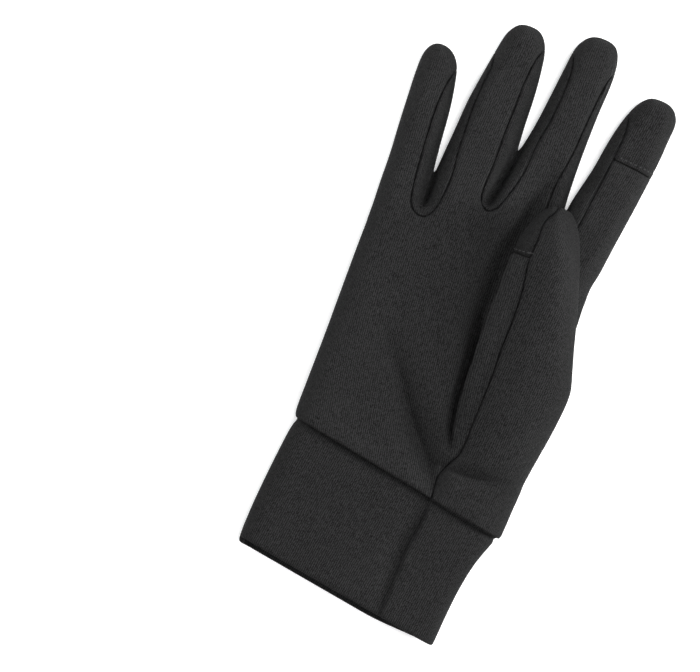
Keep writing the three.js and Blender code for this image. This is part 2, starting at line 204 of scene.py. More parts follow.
def soften(plan, reach):
    """Averages a plan map over about that many millimetres."""
    for _ in range(max(1, round(2 * (reach / STEP) ** 2))):
        for axis in (0, 1):
            padded = np.pad(plan, [(1, 1) if k == axis else (0, 0) for k in (0, 1)], mode="edge")
            lower, upper = np.delete(padded, [-1, -2], axis), np.delete(padded, [0, 1], axis)
            plan = 0.25 * lower + 0.5 * plan + 0.25 * upper
    return plan.astype(np.float32)


def ease(value, start, end):
    """Rises smoothly from 0 at start to 1 at end."""
    t = np.clip((value - start) / (end - start), 0, 1)
    return t * t * (3 - 2 * t)


# %% [markdown]
# ## The outlines
#
# The palm and the four fingers are one outline: up the little finger, down into each crotch, and up
# again. Above each crotch the two fingers lie a hair's breadth apart. The thumb is an outline of its
# own, because it lies across the palm, and so is the cuff.


# %% Outlines of hand, thumb and cuff
def side(rows, name, reverse=False):
    """One edge of a table of sections, as points in plan."""
    points = []
    for i, (y, x) in enumerate(zip(rows["y"], rows[name])):
        if x is not None:
            lean = rows.get("lean", [0] * len(rows["y"]))[i]
            middle = (rows["left"][i] + rows["right"][i]) / 2 if lean else 0
            points.append((x, y + lean * (x - middle)))
    return points[::-1] if reverse else points


# Left and right ends of each outline, past the seam that cuts it off.
HAND_ENDS = (-48.6, -48), (41.8, -52)
THUMB_ENDS = (13.4, -52), (42.2, -54)
CUFF_IN_HAND = (-48.2, -8), (43.4, -20)
CUFF_PAST_MOUTH = dict(left=[(-51.6, -98), (-52.0, -84)], right=[(35.4, -90), (35.0, -104)])
OUTLINE_SOFTNESS = 0.7

hand_outline = [HAND_ENDS[0]] + side(HAND, "left")[:-1]
for finger, crotch in zip((LITTLE, RING, MIDDLE, INDEX), CROTCHES + [None]):
    hand_outline += side(finger, "left") + side(finger, "right", True) + ([crotch] if crotch else [])
hand_outline += side(HAND, "right", True) + [HAND_ENDS[1]]
thumb_outline = [THUMB_ENDS[0]] + side(THUMB, "left") + side(THUMB, "right", True) + [THUMB_ENDS[1]]
cuff_outline = (CUFF_PAST_MOUTH["left"] + side(CUFF, "left", True) + list(CUFF_IN_HAND)
                + side(CUFF, "right") + CUFF_PAST_MOUTH["right"])
hand_in, thumb_in, cuff_in = (
    soften(inward(smooth_line(outline, True)), OUTLINE_SOFTNESS)
    for outline in (hand_outline, thumb_outline, cuff_outline))
print("area of palm and fingers in plan, square mm:", round(float((hand_in > 0).sum()) * STEP**2))

# %% [markdown]
# ## How high the cloth lies
#
# An empty glove lies almost flat on its back: a broad top, soft round edges, and a flat underside. The
# thumb was pushed across the palm, so a deep fold runs beside it and a softer one across the palm.
# There are small creases below the crotches of the fingers, and a gentle unevenness all over. A cloth
# simulation would make folds by itself, but not where the real glove has them. So each fold is a line
# of a few points here, and at each of them stand its x, y, width and depth.

# %% Folds
FOLDS = dict(
    crotch_little=[(-33.2, 92, 2.4, 0), (-33.4, 86, 2.4, 3.0), (-34.2, 80, 2.2, 3.6),
                   (-34.6, 77, 2.0, 0)],
    crotch_ring=[(-6.6, 116, 2.6, 0), (-7.4, 107, 2.6, 3.2), (-8.8, 96, 2.6, 3.8), (-9.5, 91, 2.2, 3.4),
                 (-9.8, 88, 2.0, 0)],
    crotch_middle=[(20.9, 106, 2.6, 0), (20.6, 99, 2.6, 3.2), (20.2, 89, 2.6, 3.2), (20.0, 84, 2.2, 0)],
    beside_thumb=[(11.5, 116, 12, 0), (9.5, 105, 15, 4.4), (7.5, 96, 17, 6.8), (5.4, 88, 17, 7.6),
                  (3.4, 78, 16, 7.8), (2.6, 66, 14, 7.6), (2.8, 56, 11, 8.0), (3.0, 48, 8.4, 8.4),
                  (4.6, 40, 6.4, 8.8), (6.0, 30, 4.6, 9.2), (6.6, 20, 3.8, 9.6), (7.4, 10, 3.6, 9.6),
                  (8.7, 4, 3.6, 9.0), (9.6, 0, 3.5, 8.0), (11.6, -4, 3.4, 5.0), (13.4, -8, 3.0, 0)],
    across_palm=[(-33, 32, 13, 0), (-20.5, 18.7, 14, 4.6), (-10.8, 6.0, 13, 7.2), (-5.2, -1.6, 12, 7.8),
                 (3.6, -11.0, 11, 7.6), (8.0, -16.0, 10, 6.4), (12, -21, 9, 3.6), (16, -26, 8, 0)],
    heel_band=[(2, -13, 7, 0), (8, -14, 7, 1.6), (14, -14.5, 7, 2.4), (24, -14.5, 7, 2.6),
               (32, -13, 7, 1.4), (41, -10, 7, 0)],
    palm_side=[(-36, 62, 14, 0), (-32, 50, 14, 1.0), (-26, 34, 14, 0.8), (-22, 24, 12, 0)],
    palm_foot=[(-38, -4, 12, 0), (-30, -9, 12, 0.8), (-18, -14, 12, 0.7), (-8, -18, 12, 0)],
    heel=[(20, -22, 11, 0), (27, -13, 11, 0.8), (36, -3, 11, 0.7), (42, 8, 11, 0)],
)
THUMB_FOLDS = dict(
    seam_valley=[(17.2, -12, 9, 0), (17.2, 4, 11, 2.4), (17.3, 17, 13, 3.8), (17.0, 30, 13, 4.4),
                 (16.4, 44, 13, 4.7), (15.6, 60, 12, 4.4), (14.4, 74, 10, 3.4), (14.6, 84, 7, 1.6),
                 (15.5, 94, 5, 0)],
    heel_band=[(6, -14, 7, 0), (14, -14.5, 7, 3.8), (24, -14.5, 7, 4.4), (32, -13, 7, 2.4),
               (41, -10, 7, 0)],
)
CUFF_FOLDS = dict(
    beside_seam=[(12.8, -26, 9, 0), (12.8, -36, 10, 2.4), (11.4, -50, 11, 2.6), (11.2, -66, 10, 1.8),
                 (11, -82, 8, 1.2)],
)
print("folds:", ", ".join([*FOLDS, *THUMB_FOLDS, *CUFF_FOLDS]))


def fold_depths(folds):
    """How far the folds lower the top, in plan."""
    lowered = np.zeros(PLAN_X.shape, np.float32)
    for fold in folds.values():
        line = smooth_line(fold, False, 1.0)
        nearest, here = np.full(PLAN_X.shape, 1e9), np.zeros(PLAN_X.shape)
        for x, y, width, depth in line:
            off = np.hypot(PLAN_X - x, PLAN_Y - y) / width
            here = np.where(off < nearest, depth, here)
            nearest = np.minimum(off, nearest)
        lowered += soften(here * np.clip(1 - nearest, 0, 1) ** 2, 0.45)
    return lowered


# %% Gentle waves
rng = np.random.default_rng(7)


def unevenness(count, shortest, longest, size):
    """A gentle waviness: many crossing waves with fixed random directions."""
    total = np.zeros(PLAN_X.shape, np.float32)
    for _ in range(count):
        turn, phase = rng.uniform(0, math.pi), rng.uniform(0, 2 * math.pi)
        length = rng.uniform(shortest, longest)
        along = PLAN_X * math.cos(turn) + PLAN_Y * math.sin(turn)
        total += np.sin(2 * math.pi * along / length + phase)
    return size * total / math.sqrt(count)


# %% Reading heights off the sections
def leaning(lean, middle, upright=0.0):
    """Where each place in plan is along the glove, read along sections that lean about a middle line."""
    return PLAN_Y + lean * (PLAN_X - middle) * (1 - upright)


def by_section(table, name, along):
    """A table's list, read off between its sections."""
    return np.interp(along, table["y"], table[name]).astype(np.float32)


# %% Heights of hand and thumb
LITTLE_FINGER_LOWER, PRESSED_BY_THUMB, THUMB_WAVES = 0.9, 1.1, 0.6
wave = unevenness(count=24, shortest=14, longest=42, size=0.22)
hand_along = leaning(0.1, middle=-3, upright=ease(PLAN_Y, -10, 40))
little_drop = LITTLE_FINGER_LOWER * ease(-PLAN_X, 30, 38) * ease(PLAN_Y, 70, 95)
pressed = PRESSED_BY_THUMB * ease(thumb_in, 0.5, 7) * ease(PLAN_Y, THUMB_FREE_Y - 8, THUMB_FREE_Y + 4)
hand_top = soften(by_section(HAND_TOP, "top", hand_along) - little_drop, 4) - pressed
hand_top = hand_top - fold_depths(FOLDS) + wave
thumb_along = leaning(0.1, middle=26, upright=ease(PLAN_Y, -5, 30))
thumb_top = soften(by_section(THUMB, "top", thumb_along), 3)
thumb_top = thumb_top + THUMB_WAVES * wave - fold_depths(THUMB_FOLDS)
thumb_bottom = soften(by_section(THUMB, "bottom", thumb_along), 1.5)
print("palm lies", round(float(hand_top[hand_in > 12].mean()), 1), "mm high")

# %% Height of the cuff
# The fold beside the cuff's seam is on its left side only. A table that is read off has to rise.
cuff_upwards = dict(y=CUFF["y"][::-1], top=CUFF["top"][::-1])
cuff_along = leaning(0.15, middle=-5)
cuff_top = soften(by_section(cuff_upwards, "top", cuff_along), 3)
cuff_seam_x = np.interp(-PLAN_Y, *zip(*[(-y, x) for x, y in CUFF_SEAM]))
left_of_cuff_seam = 1 - ease(PLAN_X - cuff_seam_x, -0.8, 1.0)
cuff_waves = unevenness(count=12, shortest=20, longest=50, size=0.12)
cuff_top = cuff_top + cuff_waves - fold_depths(CUFF_FOLDS) * left_of_cuff_seam
print("cuff lies", round(float(cuff_top[cuff_in > 12].mean()), 1), "mm high")

# %% [markdown]
# ## The skin of the glove
#
# A cross section of each part is a rounded lens. The lens is found from two numbers: how near the point
# is to the outline, and how far it lies above or below the middle. Dividing by how fast that number
# changes turns it into a true distance, which is below zero inside the glove.


# %% A lens, and how two of them meet
def skin_distance(plan_in, bottom, top, round_edge, power=2.3, waist=0.45):
    """Distance to the skin of one part, at every lattice point: below zero inside."""
    middle = (bottom + waist * (top - bottom))[..., None]
    rise = AXES[2] - middle
    reach = np.where(rise > 0, top[..., None] - middle, middle - bottom[..., None])
    edge = np.clip((round_edge - plan_in) / round_edge, 0, None)[..., None]
    lens = (edge**power + np.abs(rise / reach) ** power) ** (1 / power)
    slope = np.sqrt(sum(g * g for g in np.gradient(lens, STEP)))
    return ((lens - 1) / np.clip(slope, 0.04, None)).astype(np.float32)


def blend_min(a, b, width):
    """The lower of two distances, with a soft valley between them."""
    share = np.clip(0.5 + 0.5 * (b - a) / width, 0, 1)
    return b + (a - b) * share - width * share * (1 - share)


# %% Skins of hand, thumb and cuff
# From the palm to the fingers, and from the thumb's root to its end, the rounded edge gets narrower,
# the lens more pointed and its widest level lower. At the heel the thumb melts into the hand.
on_fingers = ease(PLAN_Y, 62, 92)
hand_skin = skin_distance(
    hand_in, np.zeros_like(hand_top), hand_top, round_edge=11.5 - 5.3 * on_fingers,
    power=(2.3 - 0.5 * on_fingers)[..., None], waist=0.45 - 0.17 * on_fingers)
on_thumb = ease(PLAN_Y, 18, 60)
thumb_skin = skin_distance(
    thumb_in, thumb_bottom, thumb_top, round_edge=13.5 - 3.5 * on_thumb,
    power=(2.0 - 0.4 * on_thumb)[..., None], waist=0.5 - 0.28 * on_thumb)
cuff_skin = skin_distance(cuff_in, np.zeros_like(cuff_top), cuff_top, round_edge=8.0)
valley = (0.2 + 4.0 * (1 - ease(PLAN_Y, -16, -3)))[..., None]
joined_skin = np.maximum(blend_min(hand_skin, thumb_skin, valley), -AXES[2])
print("lattice holds", hand_skin.size, "distances")

# %% [markdown]
# ## The seams
#
# Each seam is a line or a level that a piece of cloth may not cross. A number that is above zero on the
# piece's own side, and grows with the distance from the seam, says both where the piece ends and how
# near its edge is. At the seam the cloth is drawn in a little, as the sewing thread pulls it.
#
# The side seam, between the front and the back of the glove, lies lower on the fingers. Away from the
# outline the level between front and back drops to just above the table, so that the bottom of the
# deepest fold is still the palm's cloth.

# %% Sides of the seams
# FAR is a place, and a distance, beyond anything on the glove.
FAR = 90.0
FINGER_SEAM_LOWER, INNER_SEAM_LOWER = 3.2, 3.4
between = [soften(inward(smooth_line(line, False)), 0.4)[..., None] for line in (
    BETWEEN_LITTLE_AND_RING, BETWEEN_RING_AND_MIDDLE, BETWEEN_MIDDLE_AND_INDEX)]
off_strips = -np.maximum(np.maximum(between[0], between[1]), between[2])
right_of_thumb_seam = soften(inward(np.concatenate([
    smooth_line(THUMB_SEAM, False), [(FAR, 112), (FAR, -44)]])), 0.4)[..., None]
HEIGHT = AXES[2][None, None, :]
ALONG = PLAN_Y[..., None]
inner_layer = ease(hand_in, 7, 13) * (1 - on_fingers)
side_seam_z = SIDE_SEAM_Z - FINGER_SEAM_LOWER * on_fingers - INNER_SEAM_LOWER * inner_layer
above_side = HEIGHT - side_seam_z[..., None]
past_wrist = (PLAN_Y - WRIST_SLOPE * PLAN_X - WRIST_Y)[..., None] / math.hypot(1, WRIST_SLOPE)
past_back_seam = (PLAN_Y - WRIST_SLOPE * PLAN_X - BACK_SEAM_Y)[..., None] / math.hypot(1, WRIST_SLOPE)
lip = MOUTH_LIP * (1 - ease(HEIGHT, 3.5, 6.5)) * (1 - ease(PLAN_X, 5, 38))[..., None]
inside_mouth = (PLAN_Y - MOUTH_SLOPE * PLAN_X - MOUTH_Y)[..., None] + lip
print("area of the strips in plan, square mm:", [round(float((b > 0).sum()) * STEP**2) for b in between])

# %% A shell of cloth
CLOTH, CUFF_CLOTH, SEAM_GAP = 1.4, 2.2, 0.2
SEAM_DIP, SEAM_REACH, BEAD_RADIUS = 0.4, 0.9, 0.65
at_rim = (1 - ease(hand_in, 0.6, 3.0))[..., None]


def least(*fields):
    """The smallest of several distances at each point."""
    out = fields[0]
    for field in fields[1:]:
        out = np.minimum(out, field)
    return out


def cloth(skin, own_side, thickness=CLOTH, soft=0.5, dip=SEAM_DIP, bead=False, rim=0.0):
    """A shell of cloth under the skin that ends at its seams: below zero inside the cloth.

    A bead is the overlocked edge that a seam has on the inside. Where rim is 1, at the outline of a
    finger, the seam lies flush and the bead comes up under it.
    """
    drawn = skin + dip * (1 - rim) * np.exp(-(own_side / SEAM_REACH) ** 2)
    shell = np.abs(drawn + thickness / 2) - thickness / 2
    end = SEAM_GAP / 2 - own_side
    soft = soft * (1 - 0.6 * rim)
    share = np.clip(0.5 - 0.5 * (end - shell) / soft, 0, 1)
    piece = end + (shell - end) * share + soft * share * (1 - share)
    if bead:
        depth = drawn + BEAD_RADIUS + 0.1 + (thickness - 0.2) * (1 - rim)
        piece = np.minimum(piece, np.hypot(own_side, depth) - BEAD_RADIUS)
    return piece


# %% [markdown]
# ## From distances to a mesh
#
# A vertex is put in every lattice cell that the cloth's surface passes through, and neighbouring cells
# are joined with four-sided faces. The vertices then slide towards the middle of their neighbours and
# are pulled back to the surface, a few times over, so the mesh is even and the cloth has no steps.


# %% Reading the lattice between its points
def reader(points):
    """A function that reads any lattice at these points, given in millimetres."""
    size = np.array([len(a) for a in AXES])
    place = (points - LOW) / STEP
    base = np.clip(np.floor(place).astype(np.int32), 0, size - 2)
    past = np.clip(place - base, 0, 1).astype(np.float32)
    corners = []
    for corner in range(8):
        bit = np.array([(corner >> k) & 1 for k in range(3)])
        weight = np.prod(np.where(bit, past, 1 - past), axis=1)
        corners.append((weight, *(base + bit).T))

    def at(lattice):
        if lattice.ndim == 2:
            lattice = lattice[..., None]
        lattice = np.broadcast_to(lattice, size)
        return sum(weight * lattice[i, j, k] for weight, i, j, k in corners)

    return at


def slope_at(recipe, points, reach=0.2):
    """The direction in which a recipe's value grows, at any points."""
    return np.stack([
        (recipe(reader(points + d)) - recipe(reader(points - d))) / (2 * reach)
        for d in np.eye(3) * reach], axis=1)


# %% Vertices where the field crosses zero
CORNERS = [tuple((c >> k) & 1 for k in range(3)) for c in range(8)]


def net_points(field):
    """A vertex in every cell that the field's zero passes through, in steps, and each cell's number."""
    inside = field < 0
    cells = np.zeros(np.array(field.shape) - 1, np.int8)
    for corner in CORNERS:
        cells += inside[tuple(slice(c, n - 1 + c) for c, n in zip(corner, field.shape))]
    crossed = np.argwhere((cells > 0) & (cells < 8))
    values = np.stack([field[tuple((crossed + c).T)] for c in CORNERS], axis=1)
    total, hits = np.zeros((len(crossed), 3)), np.zeros(len(crossed))
    for a in range(8):
        for k in range(3):
            if not (a >> k) & 1:
                b = a | (1 << k)
                cross = (values[:, a] < 0) != (values[:, b] < 0)
                t = values[:, a] / np.where(cross, values[:, a] - values[:, b], 1)
                point = np.array(CORNERS[a]) + t[:, None] * np.eye(3)[k]
                total += point * cross[:, None]
                hits += cross
    number = np.full(cells.shape, -1, np.int32)
    number[tuple(crossed.T)] = np.arange(len(crossed))
    return crossed + total / hits[:, None], number


# %% Faces between the vertices
def net_faces(inside, number):
    """A four-sided face round every lattice edge that goes into the cloth or out of it."""
    faces = []
    for k in range(3):
        u, v = (k + 1) % 3, (k + 2) % 3
        here, there = (
            inside[tuple(slice(shift, n - 1 + shift) if a == k else slice(1, n - 1)
                         for a, n in enumerate(inside.shape))]
            for shift in (0, 1))
        edge = np.argwhere(here != there)
        entering = there[tuple(edge.T)]
        edge = edge + [0 if a == k else 1 for a in range(3)]
        ring = []
        for du, dv in ((1, 1), (0, 1), (0, 0), (1, 0)):
            cell = edge.copy()
            cell[:, u] -= du
            cell[:, v] -= dv
            ring.append(number[tuple(cell.T)])
        ring = np.stack(ring, axis=1)
        ring[entering] = ring[entering][:, ::-1]
        faces.append(ring)
    return np.concatenate(faces)


# %% Settling the mesh
def settle(recipe, points, faces, passes=4):
    """Slides vertices to the middle of their neighbours and pulls them back to the surface."""
    a = faces.ravel()
    b = np.roll(faces, -1, axis=1).ravel()
    start, end = np.concatenate([a, b]), np.concatenate([b, a])
    count = np.bincount(start, minlength=len(points))
    for _ in range(passes):
        middle = np.stack([np.bincount(start, points[end, k], len(points)) for k in range(3)], 1)
        points = 0.5 * points + 0.5 * middle / count[:, None]
        slope = slope_at(recipe, points)
        size = np.clip((slope**2).sum(1), 0.2, None)
        pull = np.clip(recipe(reader(points)) / size, -0.4, 0.4)
        points = points - pull[:, None] * slope
    return points


# %% [markdown]
# ## Which way the knit runs
#
# Jersey has fine columns of stitches that run along the glove. On the palm they lean slightly towards
# the little finger, and they fan out with the fingers. Each vertex keeps how far it is across the
# columns and along them, measured over the curved cloth. Laying the knit on straight from above would be
# simpler, but it would stretch at the rounded sides.

# %% Directions of the columns
COLUMN_LEAN = dict(y=[-30, 0, 25, 60, 80], lean=[-0.2, -0.2, -0.14, -0.06, -0.02])
FINGER_LEAN = dict(x=[-37, -33, -12, -8, 16, 22], lean=[-0.07, 0.03, 0.03, -0.02, -0.02, 0.12])
THUMB_COLUMN_LEAN, CUFF_COLUMN_LEAN = 0.04, 0.11
FAN_FROM_Y, CUFF_FROM_Y = 80, -26


def column_coordinates(points, part):
    """Across and along the columns of the knit, in millimetres."""
    x, y, z = points.T
    if part == "thumb":
        across, plan_in, top = x - THUMB_COLUMN_LEAN * y, thumb_in, thumb_top
    elif part == "cuff":
        across, plan_in, top = x - CUFF_COLUMN_LEAN * (y - CUFF_FROM_Y), cuff_in, cuff_top
    else:
        steps = np.linspace(-40, 80, 121)
        lean = np.interp(steps, COLUMN_LEAN["y"], COLUMN_LEAN["lean"])
        across = x - np.interp(y, steps, np.cumsum(lean))
        across -= np.interp(x, FINGER_LEAN["x"], FINGER_LEAN["lean"]) * np.clip(y - FAN_FROM_Y, 0, None)
        plan_in, top = hand_in, hand_top
    at = reader(points)
    outward = slope_at(lambda read: read(plan_in), points, 1.0)
    down = (at(soften(top, 3)) - z) * ease(-at(plan_in), -8, 0)  # only near the rounded sides
    return across - outward[:, 0] * down, y - outward[:, 1] * down


# %% Making one piece of cloth
def panel(name, recipe, seams, part, material, node):
    """A piece of cloth as a mesh, with its knit and its place on the glove."""
    field = recipe(lambda lattice: lattice)
    near = np.argwhere(field < STEP)
    first, last = np.maximum(near.min(0) - 2, 0), near.max(0) + 3
    field = field[tuple(slice(a, b) for a, b in zip(first, last))]
    steps, number = net_points(field)
    faces = net_faces(field < 0, number)
    points = settle(recipe, LOW + STEP * first + STEP * steps, faces)
    mesh = bpy.data.meshes.new(name)
    mesh.from_pydata((points * MM).tolist(), [], faces.tolist())
    mesh.polygons.foreach_set("use_smooth", [True] * len(faces))
    across, along = column_coordinates(points, part)
    seam = seams(reader(points))
    knit = mesh.attributes.new("knit", "FLOAT_VECTOR", "POINT")
    knit_places = np.column_stack([across, along, points[:, 2]]).astype(np.float32)
    knit.data.foreach_set("vector", knit_places.ravel())
    # The seam distance also sets the painted shade near the seams, in the material.
    seam_distance = mesh.attributes.new("seam", "FLOAT", "POINT")
    seam_distance.data.foreach_set("value", seam.astype(np.float32))
    mesh.materials.append(material)
    mesh.update()
    piece = bpy.data.objects.new(name, mesh)
    bpy.context.scene.collection.objects.link(piece)
    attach(piece, "root")
    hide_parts(node)
    print(f"{name}: {len(points)} vertices, {2 * len(faces)} triangles")


# %% [markdown]
# ## The knit as a material
#
# Seen close, each column of jersey is a row of small V shapes: two slanting legs of yarn. The height of
# the yarn is worked out from the knit coordinates with plain arithmetic nodes and shown as a bump. The
# same height paints light and shade into the colour: painted shade makes it nearly black between the
# columns, and a painted highlight makes it paler on top of the yarn. Over that lies grain from its dyed
# fibres, and its fuzz gives it a trace of sheen. Near a seam the colour is darker still, as painted
# shade for the dip that the seam lies in. A picture of knitwear would show this too, but it would be
# blurred close by and stretched over curves.

# %% A helper for arithmetic nodes
class Nodes:
    """One material, to which nodes are added. Each call below joins its inputs up."""

    def __init__(self, name):
        self.material = bpy.data.materials.new(name)
        self.material.use_nodes = True
        self.tree = self.material.node_tree
        self.tree.nodes.clear()

    def add(self, kind, inputs=(), **settings):
        """A node of any kind. An input is a number, a colour or another node's output."""
        node = self.tree.nodes.new(kind)
        for key, value in settings.items():
            setattr(node, key, value)
        for key, value in dict(inputs).items():
            if isinstance(value, bpy.types.NodeSocket):
                self.tree.links.new(value, node.inputs[key])
            else:
                node.inputs[key].default_value = value
        return node

    def math(self, operation, a, b=0.0, c=0.0):
        """One step of arithmetic on up to three numbers."""
        return self.add("ShaderNodeMath", {0: a, 1: b, 2: c}, operation=operation).outputs[0]

    def noise(self, vector, scale, detail=2.0, rough=0.5):
        """A soft random pattern from 0 to 1."""
        node = self.add("ShaderNodeTexNoise", {"Vector": vector, "Scale": scale, "Detail": detail,
                                               "Roughness": rough})
        return node.outputs["Fac"]

    def mix(self, factor, a, b):
        """A colour between two colours."""
        node = self.add("ShaderNodeMix", data_type="RGBA")
        for socket, value in ((node.inputs[0], factor), (node.inputs[6], a), (node.inputs[7], b)):
            if isinstance(value, bpy.types.NodeSocket):
                self.tree.links.new(value, socket)
            else:
                socket.default_value = value
        return node.outputs[2]


# %% The V shapes of the knit
COLUMN_WIDTH, ROW_HEIGHT = 0.84, 0.62


def knit_relief(n, knit):
    """How far a point is from the middle of its column, 0 to 1, and how high the yarn stands there."""
    split = n.add("ShaderNodeSeparateXYZ", {0: knit})
    across, along = split.outputs[0], split.outputs[1]
    wander = n.noise(knit, 0.35, 2.0)
    across = n.math("MULTIPLY_ADD", wander, 0.5, across)
    column = n.math("MULTIPLY", across, 1 / COLUMN_WIDTH)
    leg = n.math("ABSOLUTE", n.math("SUBTRACT", n.math("FRACT", column), 0.5))
    leg = n.math("MULTIPLY", leg, 2.0)
    row = n.math("MULTIPLY_ADD", leg, 0.75, n.math("MULTIPLY", along, 1 / ROW_HEIGHT))
    loop = n.math("SINE", n.math("MULTIPLY", row, 2 * math.pi))
    rib = n.math("SINE", n.math("MULTIPLY", leg, math.pi))
    return leg, n.math("MULTIPLY_ADD", loop, 0.25, rib)


print("knit columns across the palm:", round(95 / COLUMN_WIDTH))


# %% The grain of the wool
def wool_grain(n, knit):
    """Soft patterns in the knit's own directions, each with how much it lightens the wool.

    An uneven yarn shows as faint bands across the columns, and its plies as short dashes along them.
    """
    squeezed = n.add("ShaderNodeVectorMath", {0: knit, 1: (0.2, 1.4, 1.0)}, operation="MULTIPLY")
    drawn_out = n.add("ShaderNodeVectorMath", {0: knit, 1: (2.4, 0.9, 1.0)}, operation="MULTIPLY")
    return dict(
        yarns=(n.noise(squeezed.outputs[0], 1.0, 2.0, 0.6), 0.35),
        dashes=(n.noise(drawn_out.outputs[0], 1.0, 1.0, 0.5), 1.9),
        tufts=(n.noise(knit, 0.9, 3.0, 0.6), 0.1),
        fibres=(n.noise(knit, 3.0, 2.0, 0.6), 2.8),
        patches=(n.noise(knit, 0.05, 2.0), 0.15),
    )


# %% Charcoal wool jersey
BUMP_HEIGHT = 0.0003
# The darkest colour is painted shade between the columns, the palest a painted highlight on top of the
# yarn; the grain of the dyed fibres mixes between them too.
DARK_YARN_AND_SHADE, PALE_YARN_AND_HIGHLIGHT = (0.0039, 0.0039, 0.0041), (0.0342, 0.0342, 0.0346)


def wool_jersey(name, shade):
    """Fine charcoal jersey. A higher shade makes a lighter yarn; the lower shades of the strips and the
    cuff are painted shade.
    """
    n = Nodes(name)
    knit = n.add("ShaderNodeAttribute", attribute_name="knit").outputs["Vector"]
    seam = n.add("ShaderNodeAttribute", attribute_name="seam").outputs["Fac"]
    leg, stitch = knit_relief(n, knit)
    grain = wool_grain(n, knit)
    fibres, tufts = grain["fibres"][0], grain["tufts"][0]
    height = n.math("MULTIPLY_ADD", fibres, 0.8, stitch)
    height = n.math("MULTIPLY_ADD", tufts, 1.0, height)
    # Painted shade and painted highlight: the colour follows the yarn's height, nearly black between the
    # columns and paler on top of each leg.
    light = n.math("MULTIPLY_ADD", stitch, 0.8, -0.05)
    light = n.math("MULTIPLY_ADD", n.math("SUBTRACT", 0.5, leg), 1.1, light)
    for pattern, weight in grain.values():
        light = n.math("MULTIPLY_ADD", n.math("SUBTRACT", pattern, 0.5), weight, light)
    # Painted shade near the seams, where the cloth dips: the colour darkens towards each seam.
    painted_seam_shade = n.math("SMOOTH_MIN", n.math("MULTIPLY", n.math("MAXIMUM", seam, 0.0), 1.4), 1.0, 0.4)
    light = n.math("MULTIPLY", light, n.math("MULTIPLY_ADD", painted_seam_shade, 0.4, 0.6))
    dark, pale = (tuple(shade * c for c in yarn) + (1,) for yarn in (DARK_YARN_AND_SHADE, PALE_YARN_AND_HIGHLIGHT))
    colour = n.mix(n.math("MAXIMUM", n.math("MINIMUM", light, 1.2), 0.0), dark, pale)
    rough = n.math("MULTIPLY_ADD", tufts, 0.15, 0.78)
    bump = n.add("ShaderNodeBump", {"Strength": 1.0, "Distance": BUMP_HEIGHT, "Height": height})
    shader = n.add("ShaderNodeBsdfPrincipled", {
        "Base Color": colour, "Roughness": rough, "Normal": bump.outputs[0],
        "Sheen Weight": 0.012, "Sheen Roughness": 0.4, "Sheen Tint": (1, 1, 1, 1),
        "Specular IOR Level": 0.06})
    n.add("ShaderNodeOutputMaterial", {"Surface": shader.outputs[0]})
    return n.material


# The strips and the cuff get darker copies of the same jersey: painted shade, for the strips' sides
# between the fingers and for the cuff, where the light falls off.
jersey = wool_jersey("charcoal_jersey", 0.95)
touch_jersey = wool_jersey("charcoal_touch_jersey", 0.89)
cuff_jersey_painted_shade = wool_jersey("charcoal_cuff_jersey_painted_shade", 0.86)
strip_jersey_painted_shade = wool_jersey("charcoal_strip_jersey_painted_shade", 0.87)
print("four shades of jersey, with", len(jersey.node_tree.nodes), "nodes each")

# %% [markdown]
# ## The pieces of cloth
#
# The palm is one large piece that also makes the inner strip of the thumb. The free end of the thumb
# rests on the palm, so there both layers are made: the palm below, and the thumb above it. Where the
# thumb grows out of the hand they are one skin with a soft valley between them.

# %% Which side of each seam a piece keeps to
# Right of its seam, the thumb's piece also covers the side of the hand, up to where the thumb is free.
# There it meets the palm, which goes on below the free thumb.
INDEX_FINGER_FROM_X = 21.0
palm_own = least(above_side, off_strips, past_wrist, -right_of_thumb_seam)
past_index_seam = (PLAN_Y - INDEX_PATCH_Y - INDEX_PATCH_SLOPE * (PLAN_X - INDEX_PATCH_X))[..., None]
off_index_patch = -np.minimum(past_index_seam, (PLAN_X - INDEX_FINGER_FROM_X)[..., None])
past_thumb_root = np.maximum(ALONG - THUMB_FREE_Y, -right_of_thumb_seam)
palm_free = least(above_side, off_strips, past_wrist, off_index_patch, past_thumb_root)
strip_own = least(-right_of_thumb_seam, THUMB_PATCH_Y - ALONG, past_wrist)
thumb_root = np.where(thumb_skin > hand_skin, THUMB_FREE_Y - ALONG, FAR)
thumb_own = least(above_side, past_wrist, right_of_thumb_seam, thumb_root)
index_tip_own = least(above_side, off_strips, -off_index_patch)
thumb_tip_own = least(-right_of_thumb_seam, ALONG - THUMB_PATCH_Y)
back_own = least(-above_side, off_strips, past_back_seam)
wrist_own = least(-above_side, -past_back_seam, past_wrist)
print("palm starts at y", round(float(PLAN_Y[palm_own.max(-1) > 0].min()), 1), "mm")


# %% Palm and thumb
def finger_rim(at):
    """1 at the outline of the fingers, where seams lie flush, and 0 elsewhere."""
    return at(at_rim) * (at(ALONG) > FINGERS_FROM_Y)


def palm_cloth(at):
    """The palm with the inner strip of the thumb."""
    apart = np.minimum(cloth(at(hand_skin), at(palm_free), rim=finger_rim(at)),
                       cloth(at(thumb_skin), at(strip_own)))
    return np.where(at(ALONG) > THUMB_FREE_Y, apart, cloth(at(joined_skin), at(palm_own)))


def palm_seams(at):
    """Distance from the palm's own seams."""
    apart = np.where(at(thumb_skin) < at(hand_skin), at(strip_own), at(palm_free))
    return np.where(at(ALONG) > THUMB_FREE_Y, apart, at(palm_own))


def thumb_cloth(at):
    """The outer piece of the thumb."""
    return np.where(at(ALONG) > THUMB_FREE_Y, cloth(at(thumb_skin), at(right_of_thumb_seam), bead=True),
                    cloth(at(joined_skin), at(thumb_own), bead=True))


panel("palm", palm_cloth, palm_seams, "hand", jersey, "palm_panel")
panel("thumb", thumb_cloth, lambda at: at(right_of_thumb_seam), "thumb", jersey, "thumb_panel")

